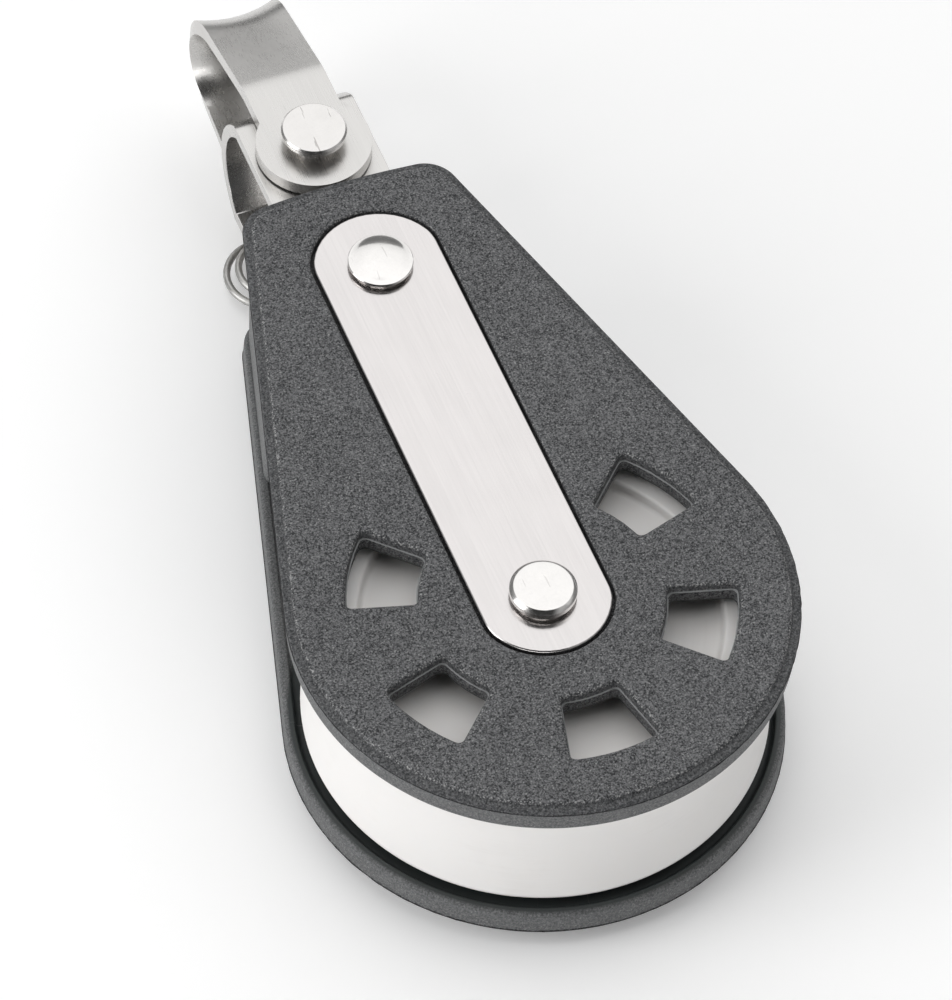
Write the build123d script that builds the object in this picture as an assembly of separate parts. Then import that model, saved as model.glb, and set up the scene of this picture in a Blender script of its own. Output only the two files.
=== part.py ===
from build123d import *
import os
from math import asin, atan2, cos, hypot, pi, radians, sin, sqrt, tan

# Single sheave block with a strip shackle.
# Origin: middle of the sheave axle. +Y runs to the shackle, +Z out of the front cheek. Millimetres.

# Main sizes
sheave_radius = 26.75
rivet_spacing = 50.0
cheek_radius = 28.9
flank_angle = 15.5            # degrees from the centre line
head_end = 63.4               # axle to the flat end of the cheeks
head_crown = 0.4
head_corner_radius = 4.2
cheek_face = 12.6             # middle plane to the outer face of a cheek
cheek_thickness = 3.0
lip_height = 0.9              # the lip round the inner face, which shrouds the rim of the sheave
lip_width = 1.7
cheek_outer_round = 0.9
cheek_inner_round = 0.6

# Windows around the axle
window_inner_radius = 13.9
window_outer_radius = 21.9
window_half_angle = 14.0
window_step = 60.0
window_corner_radius = 1.0
window_edge_round = 0.35

# Side plates
plate_width = 15.0
plate_thickness = 1.5
plate_end_radius = 7.8
plate_gap = 0.35
plate_edge_round = 0.3

# Rivets
rivet_radius = 2.5
rivet_head_radius = 3.8
rivet_collar_radius = 3.2
rivet_collar_height = 0.5
rivet_head_height = 1.2
rivet_dome_height = 0.3
fixed_gap = 0.05              # radial gap of a fixed pin in its hole

# Sheave and its bearing
sheave_half_width = 8.7
groove_half_width = 7.6
groove_depth = 2.0
sheave_lip_round = 0.7
web_recess_depth = 1.2
web_inner_radius = 9.8
web_outer_radius = 20.6
web_slope = 0.4
bush_radius = 7.0
bush_gap = 0.02
sleeve_radius = 5.0
running_gap = 0.05            # radial gap of a turning fit
washer_radius = 9.0
washer_thickness = 0.75

# Head: spacer, strap and its distance sleeve
spacer_inset = 0.9
spacer_low_y = 39.0
spacer_corner_radius = 2.5
spacer_gap = 0.05
strap_width = 15.0
strap_thickness = 1.6
strap_half_height = 8.6       # middle plane to the outer face of a leg
strap_top_y = 83.1
strap_corner_round = 2.0      # outer radius of the two bends
strap_corner_turn = 36        # degrees, the arched top takes the rest
strap_end_y = 43.5
strap_end_round = 3.0
head_sleeve_radius = 3.2

# Shackle and its pin
pin_y = 71.7
pin_radius = 2.5
pin_head_radius = 3.9
pin_head_height = 1.0
pin_head_under = 12.0         # middle plane to the underside of the head
pin_tail = -14.2
pin_tail_chamfer = 0.5
shackle_width = 10.2
shackle_thickness = 1.7
shackle_face = 10.6           # middle plane to the outer face of an ear
ear_radius = 6.9
leg_bend_y = 82.0
bow_radius = 7.8
bow_centre_y = 92.8
leg_bend_round = 6.0

# Split ring through the tail of the pin
ring_z = -12.0
ring_hole_radius = 1.65
ring_wire = 0.9
ring_outer_turn = 5.6
ring_inner_turn = 4.2
ring_pitch = 1.74
ring_turns = 1.9
ring_steps_per_turn = 8
ring_start_turn = 0.05        # how far past the pin the wire starts

cheek_inner_face = cheek_face - cheek_thickness
plate_floor = cheek_face - plate_thickness


def turned(piece, flip):
    """The rear half is the front half turned over the length of the block."""
    return piece.rotate(Axis.Y, 180) if flip else piece


def rod(radius, low, high, y=0.0):
    return Pos(0, y, (low + high) / 2) * Cylinder(radius, high - low)


def teardrop(inset=0.0, low_y=None):
    """Outline of a cheek: a big round end, two tangent flanks and a short crowned end."""
    slope = radians(flank_angle)
    radius = cheek_radius - inset
    end_y = head_end - inset
    touch = (radius * cos(slope), radius * sin(slope))
    corner = ((radius - end_y * sin(slope)) / cos(slope), end_y)
    flank_right = Line(touch, corner)
    flank_left = Line((-corner[0], corner[1]), (-touch[0], touch[1]))
    crown = ThreePointArc(corner, (0, end_y + head_crown), (-corner[0], corner[1]))
    big_end = ThreePointArc((-touch[0], touch[1]), (0, -radius), touch)
    face = make_face([flank_right, crown, flank_left, big_end])
    corners = face.vertices().sort_by(Axis.Y)[-2:]
    face = fillet(corners, head_corner_radius - inset)
    if low_y is not None:
        height = 2 * head_end
        face = face & Pos(0, low_y + height / 2) * Rectangle(height, height)
        face = fillet(face.vertices().sort_by(Axis.Y)[:2], spacer_corner_radius)
    return face


def plate_outline(grow=0.0):
    """A strip whose ends are arcs about the two rivets."""
    half = plate_width / 2 + grow
    end = plate_end_radius + grow
    rise = sqrt(end ** 2 - half ** 2)
    top = rivet_spacing
    right = Line((half, -rise), (half, top + rise))
    upper = ThreePointArc((half, top + rise), (0, top + end), (-half, top + rise))
    left = Line((-half, top + rise), (-half, -rise))
    lower = ThreePointArc((-half, -rise), (0, -end), (half, -rise))
    return make_face([right, upper, left, lower])


def window(angle):
    """One window, centred on an angle counted from -Y."""
    half = radians(window_half_angle)
    points = []
    for radius in (window_inner_radius, window_outer_radius):
        points.append((radius * sin(half), -radius * cos(half)))
    inner, outer = points
    near = ThreePointArc((-inner[0], inner[1]), (0, -window_inner_radius), inner)
    far = ThreePointArc(outer, (0, -window_outer_radius), (-outer[0], outer[1]))
    sides = [Line(inner, outer), Line((-outer[0], outer[1]), (-inner[0], inner[1]))]
    face = make_face([near, sides[0], far, sides[1]])
    face = fillet(face.vertices(), window_corner_radius)
    return face.rotate(Axis.Z, angle)


def cheek(flip):
    lip_face = cheek_inner_face - lip_height
    body = extrude(Pos(0, 0, lip_face) * teardrop(), cheek_thickness + lip_height)
    edges = body.edges().group_by(Axis.Z)
    body = fillet(edges[-1], cheek_outer_round)
    body = fillet(body.edges().group_by(Axis.Z)[0], cheek_inner_round)
    body -= extrude(Pos(0, 0, lip_face) * teardrop(lip_width), lip_height)
    for step in range(-2, 3):
        hole = Pos(0, 0, cheek_inner_face) * window(step * window_step)
        body -= extrude(hole, cheek_thickness)
    inside = (window_outer_radius + cheek_radius) / 2
    top_edges = body.edges().group_by(Axis.Z)[-1]
    rims = [edge for edge in top_edges if hypot(edge.center().X, edge.center().Y) < inside]
    body = fillet(rims, window_edge_round)
    body -= extrude(Pos(0, 0, plate_floor) * plate_outline(plate_gap), plate_thickness)
    for y in (0, rivet_spacing):
        body -= rod(rivet_radius + fixed_gap, 0, cheek_face, y)
    return turned(body, flip)


def side_plate(flip):
    body = extrude(Pos(0, 0, plate_floor) * plate_outline(), plate_thickness)
    body = fillet(body.edges().group_by(Axis.Z)[-1], plate_edge_round)
    for y in (0, rivet_spacing):
        body -= rod(rivet_radius + fixed_gap, 0, cheek_face, y)
    return turned(body, flip)


def rivet(y, domed):
    """Shank with a collar and a formed head at each end."""
    under = cheek_face + rivet_collar_height
    top = under + rivet_head_height
    edge = rivet_head_height / 4
    dome = rivet_dome_height if domed else 0
    corner = (rivet_head_radius - edge, top - dome)
    rim = (rivet_head_radius, corner[1] - edge)
    profile = [(rivet_radius, 0), (rivet_radius, cheek_face), (rivet_collar_radius, cheek_face),
               (rivet_collar_radius, under), (rivet_head_radius, under), rim, corner]
    outline = [Polyline(*profile), Polyline((0, top), (0, 0), (rivet_radius, 0))]
    if domed:
        dome_radius = (corner[0] ** 2 + dome ** 2) / (2 * dome)
        middle = (corner[0] / 2, top - dome_radius + sqrt(dome_radius ** 2 - corner[0] ** 2 / 4))
        outline.append(ThreePointArc(corner, middle, (0, top)))
    else:
        outline.append(Line(corner, (0, top)))
    half = revolve(Plane.XZ * make_face(outline), Axis.Z)
    return Pos(0, y, 0) * (half + mirror(half, Plane.XY))


def sheave():
    """Grooved wheel with a recessed web on each side."""
    lip = sheave_lip_round
    half = sheave_half_width
    floor = half - web_recess_depth
    bore = bush_radius + bush_gap
    right = [(bore, 0), (bore, half), (web_inner_radius, half),
             (web_inner_radius + web_slope, floor), (web_outer_radius - web_slope, floor),
             (web_outer_radius, half), (sheave_radius - lip, half), (sheave_radius, half - lip),
             (sheave_radius, groove_half_width)]
    sag = groove_depth
    arc_radius = (groove_half_width ** 2 + sag ** 2) / (2 * sag)
    quarter = groove_half_width / 2
    depth = sqrt(arc_radius ** 2 - quarter ** 2) - (arc_radius - sag)
    groove = ThreePointArc(right[-1], (sheave_radius - depth, quarter), (sheave_radius - sag, 0))
    outline = [Polyline(*right), groove, Line((sheave_radius - sag, 0), right[0])]
    side = revolve(Plane.XZ * make_face(outline), Axis.Z)
    return side + mirror(side, Plane.XY)


def tube(outer, inner, low, high, y=0.0):
    return rod(outer, low, high, y) - rod(inner, low, high, y)


def thrust_washer(flip):
    mid = (sheave_half_width + cheek_inner_face) / 2
    ring = tube(washer_radius, sleeve_radius + running_gap, mid - washer_thickness / 2,
                mid + washer_thickness / 2)
    return turned(ring, flip)


def head_spacer():
    """Moulded block between the cheeks, stepped to sit inside their lips and slotted for the strap."""
    half = cheek_inner_face - spacer_gap
    step = half - lip_height
    body = extrude(Pos(0, 0, -half) * teardrop(lip_width + spacer_gap, spacer_low_y), 2 * half)
    body += extrude(Pos(0, 0, -step) * teardrop(spacer_inset, spacer_low_y), 2 * step)
    slot_height = strap_thickness + 2 * spacer_gap
    slot_length = head_end
    for side in (-1, 1):
        z = side * (strap_half_height - strap_thickness / 2)
        y = strap_end_y - spacer_gap + slot_length / 2
        body -= Pos(0, y, z) * Box(strap_width + 2 * spacer_gap, slot_length, slot_height)
    return body - rod(head_sleeve_radius + spacer_gap, -half, half, rivet_spacing)


def strap_side(offset):
    """Lines of the bent strip, offset inwards from its outer face: leg, bend, arched top, bend, leg."""
    turn = radians(strap_corner_turn)
    centre_z = strap_half_height - strap_corner_round
    arch_radius = (centre_z + strap_corner_round * cos(turn)) / cos(turn)
    centre_y = strap_top_y - arch_radius + (arch_radius - strap_corner_round) * sin(turn)
    radius = strap_corner_round - offset
    leg, middle, corner = [(centre_y + radius * sin(angle), centre_z + radius * cos(angle))
                           for angle in (0, turn / 2, turn)]
    top = (strap_top_y - offset, 0)
    end = (strap_end_y, leg[1])
    upper = [end, leg, middle, corner]
    lower = [(y, -z) for y, z in upper]
    return [Line(upper[0], upper[1]), ThreePointArc(*upper[1:]), ThreePointArc(corner, top, lower[3]),
            ThreePointArc(*lower[1:]), Line(lower[1], lower[0])]


def head_strap():
    """Flat strip bent to a U, with a bore for the rivet and one for the pin in each leg."""
    outer = strap_half_height
    inner = outer - strap_thickness
    low = strap_end_y
    ends = [Line((low, side * inner), (low, side * outer)) for side in (1, -1)]
    outline = strap_side(0) + strap_side(strap_thickness) + ends
    body = extrude(Plane.YZ * make_face(outline), strap_width / 2, both=True)
    tips = body.edges().filter_by(Axis.Z).group_by(Axis.Y)[0]
    body = fillet(tips, strap_end_round)
    for y, radius in ((rivet_spacing, rivet_radius + fixed_gap), (pin_y, pin_radius + running_gap)):
        body -= rod(radius, -outer, outer, y)
    return body


def shackle_side(offset):
    """Half outline of the shackle strip, offset inwards from its outer face."""
    reach = bow_centre_y - leg_bend_y
    lean = atan2(shackle_face, reach) - asin(bow_radius / hypot(reach, shackle_face))
    bend = (leg_bend_y - offset * tan(lean / 2), shackle_face - offset)
    radius = bow_radius - offset
    touch = (bow_centre_y + radius * sin(lean), radius * cos(lean))
    middle = (pi / 2 + lean) / 2
    arc = ((bow_centre_y + radius * sin(middle), radius * cos(middle)), (bow_centre_y + radius, 0))
    return bend, touch, arc


def shackle():
    """Strip bent to a bow, with a round ear at each end."""
    chains = []
    for offset in (0, shackle_thickness):
        bend, touch, arc = shackle_side(offset)
        start = (pin_y, shackle_face - offset)
        leg = FilletPolyline(start, bend, touch, radius=leg_bend_round)
        chains.append([leg, ThreePointArc(touch, arc[0], arc[1])])
    outer, inner = chains
    start_y = pin_y
    tip = bow_centre_y + bow_radius
    closing = [Line((start_y, shackle_face), (start_y, shackle_face - shackle_thickness)),
               Line((tip, 0), (tip - shackle_thickness, 0))]
    half = extrude(Plane.YZ * make_face(outer + inner + closing), shackle_width / 2, both=True)
    half += rod(ear_radius, shackle_face - shackle_thickness, shackle_face, pin_y)
    body = half + mirror(half, Plane.XY)
    return body - rod(pin_radius + running_gap, -shackle_face, shackle_face, pin_y)


def clevis_pin():
    shank = rod(pin_radius, pin_tail, pin_head_under, pin_y)
    shank = chamfer(shank.edges().group_by(Axis.Z)[0], pin_tail_chamfer)
    head = rod(pin_head_radius, pin_head_under, pin_head_under + pin_head_height, pin_y)
    head = fillet(head.edges().group_by(Axis.Z)[-1], pin_head_height / 4)
    hole = Pos(0, pin_y, ring_z) * (Rot(90, 0, 0) * Cylinder(ring_hole_radius, 3 * pin_radius))
    return shank + head - hole


def ring_point(turn):
    """A point on the wire after a number of turns, which all pass through the hole in the pin."""
    share = turn / ring_turns
    radius = ring_outer_turn + (ring_inner_turn - ring_outer_turn) * share
    angle = 2 * pi * (turn + ring_start_turn)
    x = radius * (cos(angle) - 1)
    z = ring_z + ring_pitch * (share - 0.5)
    return Vector(x, pin_y + radius * sin(angle), z)


def split_ring():
    """Two turns of wire, built of tangent arcs."""
    count = round(ring_turns * ring_steps_per_turn)
    points = [ring_point(ring_turns * step / count) for step in range(count + 1)]
    nudge = 0.001
    tangent = (ring_point(nudge) - ring_point(0)).normalized()
    arcs = []
    for start, end in zip(points, points[1:]):
        arcs.append(TangentArc(start, end, tangent=tangent))
        tangent = arcs[-1] % 1
    path = Wire(arcs)
    section = Plane(origin=points[0], z_dir=path % 0) * Circle(ring_wire / 2)
    solid = sweep(section, path=path)
    expected = pi * (ring_wire / 2) ** 2 * path.length
    print("split ring volume", round(solid.volume, 2), "expected", round(expected, 2))
    return solid


def build():
    parts = {
        "front_cheek": cheek(False),
        "rear_cheek": cheek(True),
        "front_side_plate": side_plate(False),
        "rear_side_plate": side_plate(True),
        "axle_rivet": rivet(0, False),
        "head_rivet": rivet(rivet_spacing, True),
        "sheave": sheave(),
        "sheave_bush": tube(bush_radius, sleeve_radius + running_gap, -sheave_half_width, sheave_half_width),
        "axle_sleeve": tube(sleeve_radius, rivet_radius + fixed_gap, fixed_gap - cheek_inner_face,
                            cheek_inner_face - fixed_gap),
        "front_thrust_washer": thrust_washer(False),
        "rear_thrust_washer": thrust_washer(True),
        "head_spacer": head_spacer(),
        "head_strap": head_strap(),
        "head_rivet_sleeve": tube(head_sleeve_radius, rivet_radius + fixed_gap,
                                  strap_thickness - strap_half_height + fixed_gap,
                                  strap_half_height - strap_thickness - fixed_gap, rivet_spacing),
        "shackle": shackle(),
        "clevis_pin": clevis_pin(),
        "split_ring": split_ring(),
    }
    return parts


os.makedirs("parts", exist_ok=True)
for node, solid in build().items():
    export_step(solid, f"parts/{node}.step")
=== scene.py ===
import math

import bmesh
import bpy
from mathutils import Matrix, Vector


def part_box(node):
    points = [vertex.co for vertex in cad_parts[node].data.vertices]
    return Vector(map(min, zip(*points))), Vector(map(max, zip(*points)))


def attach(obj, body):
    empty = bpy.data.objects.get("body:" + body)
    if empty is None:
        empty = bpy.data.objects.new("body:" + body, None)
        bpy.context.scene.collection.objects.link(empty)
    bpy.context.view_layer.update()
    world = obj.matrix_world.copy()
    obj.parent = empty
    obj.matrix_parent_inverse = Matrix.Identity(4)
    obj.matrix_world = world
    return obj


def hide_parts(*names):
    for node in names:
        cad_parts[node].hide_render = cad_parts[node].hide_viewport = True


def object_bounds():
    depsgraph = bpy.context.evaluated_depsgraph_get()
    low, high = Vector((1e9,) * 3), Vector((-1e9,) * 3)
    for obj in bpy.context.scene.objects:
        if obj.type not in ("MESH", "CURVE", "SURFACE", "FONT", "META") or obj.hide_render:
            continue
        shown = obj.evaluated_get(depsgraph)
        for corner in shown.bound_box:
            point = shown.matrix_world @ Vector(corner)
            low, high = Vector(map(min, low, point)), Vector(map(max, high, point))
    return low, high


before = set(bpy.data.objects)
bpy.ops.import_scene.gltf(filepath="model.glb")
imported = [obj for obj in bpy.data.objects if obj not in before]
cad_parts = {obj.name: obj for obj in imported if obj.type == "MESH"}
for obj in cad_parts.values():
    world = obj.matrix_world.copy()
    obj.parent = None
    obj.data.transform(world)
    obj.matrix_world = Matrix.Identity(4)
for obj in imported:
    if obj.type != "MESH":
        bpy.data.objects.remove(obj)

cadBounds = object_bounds()
mm = 0.001
tiny = 0.004 * mm


def clearSelection():
    if bpy.context.object and bpy.context.object.mode != "OBJECT":
        bpy.ops.object.mode_set(mode="OBJECT")
    bpy.ops.object.select_all(action="DESELECT")


def choose(piece):
    clearSelection()
    piece.select_set(True)
    bpy.context.view_layer.objects.active = piece


def edit(piece):
    choose(piece)
    bpy.ops.object.mode_set(mode="EDIT")


def pick(piece, kind, test):
    # selects the vertices, edges or faces whose middle passes the test
    bpy.ops.mesh.select_mode(type=kind)
    bpy.ops.mesh.select_all(action="DESELECT")
    shape = bmesh.from_edit_mesh(piece.data)
    if kind == "VERT":
        for vertex in shape.verts:
            vertex.select_set(bool(test(vertex.co, vertex)))
    elif kind == "EDGE":
        for edge in shape.edges:
            edge.select_set(bool(test((edge.verts[0].co + edge.verts[1].co) / 2, edge)))
    else:
        for face in shape.faces:
            face.select_set(bool(test(face.calc_center_median(), face)))
    shape.select_flush_mode()
    bmesh.update_edit_mesh(piece.data)


def startPoint(name, place):
    # a plane merged to one vertex, from which a line is drawn
    clearSelection()
    bpy.ops.mesh.primitive_plane_add(size=mm, location=place)
    piece = bpy.context.object
    piece.name = name
    piece.data.name = name
    bpy.ops.object.mode_set(mode="EDIT")
    bpy.ops.mesh.select_mode(type="VERT")
    bpy.ops.mesh.select_all(action="SELECT")
    bpy.ops.mesh.merge(type="CENTER")
    return piece


def drawLine(name, start, steps):
    # lines and arcs drawn one after another: a point, or (centre, degrees, pieces, axis)
    piece = startPoint(name, start)
    here = Vector(start)
    for step in steps:
        if len(step) == 3:
            there = Vector(step)
            bpy.ops.mesh.extrude_region_move(TRANSFORM_OT_translate={"value": there - here})
            here = there
        else:
            centre, degrees, pieces, axis = step
            turn = math.radians(degrees)
            bpy.ops.mesh.spin(steps=pieces, angle=-turn, center=centre, axis=axis)
            here = Matrix.Rotation(turn, 3, Vector(axis)) @ (here - Vector(centre)) + Vector(centre)
    bpy.ops.object.mode_set(mode="OBJECT")
    bpy.ops.object.transform_apply(location=True, rotation=True, scale=True)
    return piece


def cleanUp(piece):
    edit(piece)
    bpy.ops.mesh.select_all(action="SELECT")
    bpy.ops.mesh.remove_doubles(threshold=tiny / 4)
    bpy.ops.mesh.normals_make_consistent(inside=False)
    bpy.ops.object.mode_set(mode="OBJECT")


def closeOutline(piece):
    # the drawn line becomes one flat face
    edit(piece)
    bpy.ops.mesh.select_all(action="SELECT")
    bpy.ops.mesh.remove_doubles(threshold=tiny / 4)
    bpy.ops.mesh.edge_face_add()
    bpy.ops.object.mode_set(mode="OBJECT")


def extrudeAll(piece, way):
    edit(piece)
    bpy.ops.mesh.select_all(action="SELECT")
    bpy.ops.mesh.extrude_region_move(TRANSFORM_OT_translate={"value": Vector(way)})
    bpy.ops.mesh.select_all(action="SELECT")
    bpy.ops.mesh.normals_make_consistent(inside=False)
    bpy.ops.object.mode_set(mode="OBJECT")


def stepInwards(piece, height, up, steps):
    # insets the end face again and again: each step goes inwards and onwards
    edit(piece)
    pick(piece, "FACE", lambda at, face: abs(at.z - height) < tiny and face.normal.z * up > 0.9)
    for inwards, onwards in steps:
        bpy.ops.mesh.inset(thickness=inwards, depth=onwards, use_even_offset=True)
    bpy.ops.object.mode_set(mode="OBJECT")


def quarterRound(width, height, pieces, outer=True):
    # steps for stepInwards that follow a quarter of an ellipse
    steps = []
    for number in range(pieces):
        one, two = (math.radians(90 * (number + more) / pieces) for more in (0, 1))
        sines, cosines = math.sin(two) - math.sin(one), math.cos(one) - math.cos(two)
        steps.append((width * cosines, height * sines) if outer else (width * sines, height * cosines))
    return steps


def roughen(piece, height, test, amount, seed):
    # a torn, uneven line where two halves of a mould meet, kept level
    edit(piece)
    pick(piece, "VERT", lambda at, vertex: abs(at.z - height) < tiny and test(at))
    bpy.ops.transform.vertex_random(offset=amount, uniform=0.0, normal=0.0, seed=seed)
    bpy.ops.transform.resize(value=(1, 1, 0), center_override=(0, 0, height))
    bpy.ops.object.mode_set(mode="OBJECT")


def bevelEdges(piece, test, width, segments=3):
    edit(piece)
    pick(piece, "EDGE", test)
    bpy.ops.mesh.bevel(offset=width, segments=segments, affect="EDGES", clamp_overlap=True)
    bpy.ops.object.mode_set(mode="OBJECT")


def applyModifier(piece, kind, settings):
    choose(piece)
    modifier = piece.modifiers.new(kind.lower(), kind)
    for key, value in settings.items():
        setattr(modifier, key, value)
    bpy.ops.object.modifier_apply(modifier=modifier.name)


def combine(piece, other, operation="DIFFERENCE"):
    applyModifier(piece, "BOOLEAN", {"operation": operation, "solver": "EXACT", "object": other})
    bpy.data.objects.remove(other)


def roundEdges(piece, width, angle=30, segments=2):
    applyModifier(piece, "BEVEL", {"width": width, "segments": segments, "limit_method": "ANGLE",
                                   "angle_limit": math.radians(angle), "harden_normals": False})


def smooth(piece, angle=32):
    choose(piece)
    bpy.ops.object.shade_smooth_by_angle(angle=math.radians(angle))
    applyModifier(piece, "WEIGHTED_NORMAL", {"weight": 60, "keep_sharp": True})


def joinPieces(pieces, name):
    choose(pieces[0])
    for piece in pieces:
        piece.select_set(True)
    bpy.ops.object.join()
    joined = bpy.context.object
    joined.name = name
    joined.data.name = name
    return joined


def lathe(name, profile, count=128, place=(0, 0)):
    # a drawn half section (radius, height) or arcs, spun round the z axis through the place
    x, y = place
    steps = []
    for step in profile:
        if len(step) == 2:
            steps.append((x + step[0], y, step[1]))
        else:
            radius, height, degrees, pieces = step
            steps.append(((x + radius, y, height), degrees, pieces, (0, 1, 0)))
    piece = drawLine(name, steps[0], steps[1:])
    edit(piece)
    bpy.ops.mesh.select_all(action="SELECT")
    bpy.ops.mesh.spin(steps=count, angle=2 * math.pi, center=(x, y, 0), axis=(0, 0, 1))
    bpy.ops.object.mode_set(mode="OBJECT")
    cleanUp(piece)
    return piece


def roundRing(piece, radius, height, width, segments=3, place=(0, 0)):
    # rounds the ring of edges at a radius and a height
    def onRing(at, edge):
        for vertex in edge.verts:
            away = math.hypot(vertex.co.x - place[0], vertex.co.y - place[1])
            if abs(away - radius) > tiny * 3 or abs(vertex.co.z - height) > tiny * 3:
                return False
        return True
    bevelEdges(piece, onRing, width, segments)


def drill(piece, radius, length, place, count=64, way="z"):
    clearSelection()
    turn = (0, 0, 0) if way == "z" else (math.pi / 2, 0, 0)
    bpy.ops.mesh.primitive_cylinder_add(vertices=count, radius=radius, depth=length,
                                        location=place, rotation=turn)
    combine(piece, bpy.context.object)


class Signal:
    # an output of a node that can be used in sums

    def __init__(self, look, socket):
        self.look = look
        self.socket = socket

    def sum(self, operation, first, second=None):
        values = {0: first} if second is None else {0: first, 1: second}
        return self.look.node("Math", {"operation": operation}, values)

    def __add__(self, other):
        return self.sum("ADD", self, other)

    def __radd__(self, other):
        return self.sum("ADD", other, self)

    def __sub__(self, other):
        return self.sum("SUBTRACT", self, other)

    def __rsub__(self, other):
        return self.sum("SUBTRACT", other, self)

    def __mul__(self, other):
        return self.sum("MULTIPLY", self, other)

    def __rmul__(self, other):
        return self.sum("MULTIPLY", other, self)

    def __pow__(self, other):
        return self.sum("POWER", self, other)

    def __abs__(self):
        return self.sum("ABSOLUTE", self)


class Look:
    # one material, built node by node

    def __init__(self, name):
        self.material = bpy.data.materials.new(name)
        self.material.use_nodes = True
        self.tree = self.material.node_tree
        self.tree.nodes.clear()
        self.place = self.node("TexCoord", output="Object")

    def node(self, kind, settings=None, values=None, output=0):
        made = self.tree.nodes.new("ShaderNode" + kind)
        for key, value in (settings or {}).items():
            if key == "stops":
                ramp = made.color_ramp.elements
                ramp[0].position, ramp[0].color = value[0]
                ramp[1].position, ramp[1].color = value[-1]
                for position, colour in value[1:-1]:
                    ramp.new(position).color = colour
            else:
                setattr(made, key, value)
        for key, value in (values or {}).items():
            if isinstance(value, Signal):
                self.tree.links.new(value.socket, made.inputs[key])
            else:
                made.inputs[key].default_value = value
        return Signal(self, made.outputs[output])

    def axis(self, number, vector=None):
        return self.node("SeparateXYZ", values={0: vector or self.place}, output=number)

    def stretched(self, x, y, z, centre=(0, 0, 0)):
        moved = self.node("VectorMath", {"operation": "SUBTRACT"}, {0: self.place, 1: centre})
        return self.node("VectorMath", {"operation": "MULTIPLY"}, {0: moved, 1: (x, y, z)})

    def noise(self, vector, scale=1.0, detail=3.0, roughness=0.55):
        return self.node("TexNoise", values={"Vector": vector, "Scale": scale, "Detail": detail,
                                             "Roughness": roughness})

    def between(self, value, low, high, newLow=0.0, newHigh=1.0):
        return self.node("MapRange", {"clamp": True},
                         {0: value, 1: low, 2: high, 3: newLow, 4: newHigh})

    def blend(self, share, first, second):
        return self.node("Mix", {"data_type": "RGBA"}, {0: share, 6: first, 7: second}, output=2)

    def round(self, centre=(0, 0)):
        # radius from an upright axis, and the turn about it
        x = self.axis(0) - centre[0]
        y = self.axis(1) - centre[1]
        radius = (x * x + y * y) ** 0.5
        turn = self.node("Math", {"operation": "ARCTAN2"}, {0: y, 1: x})
        return radius, turn

    def vector(self, x, y, z):
        return self.node("CombineXYZ", values={0: x, 1: y, 2: z})

    def bump(self, height, strength, distance, under=None):
        values = {"Height": height, "Strength": strength, "Distance": distance}
        if under:
            values["Normal"] = under
        return self.node("Bump", values=values)

    def finish(self, values):
        surface = self.node("BsdfPrincipled", values=values)
        out = self.tree.nodes.new("ShaderNodeOutputMaterial")
        self.tree.links.new(surface.socket, out.inputs["Surface"])
        return self.material


def grey(value):
    return (value, value, value, 1)


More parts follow.
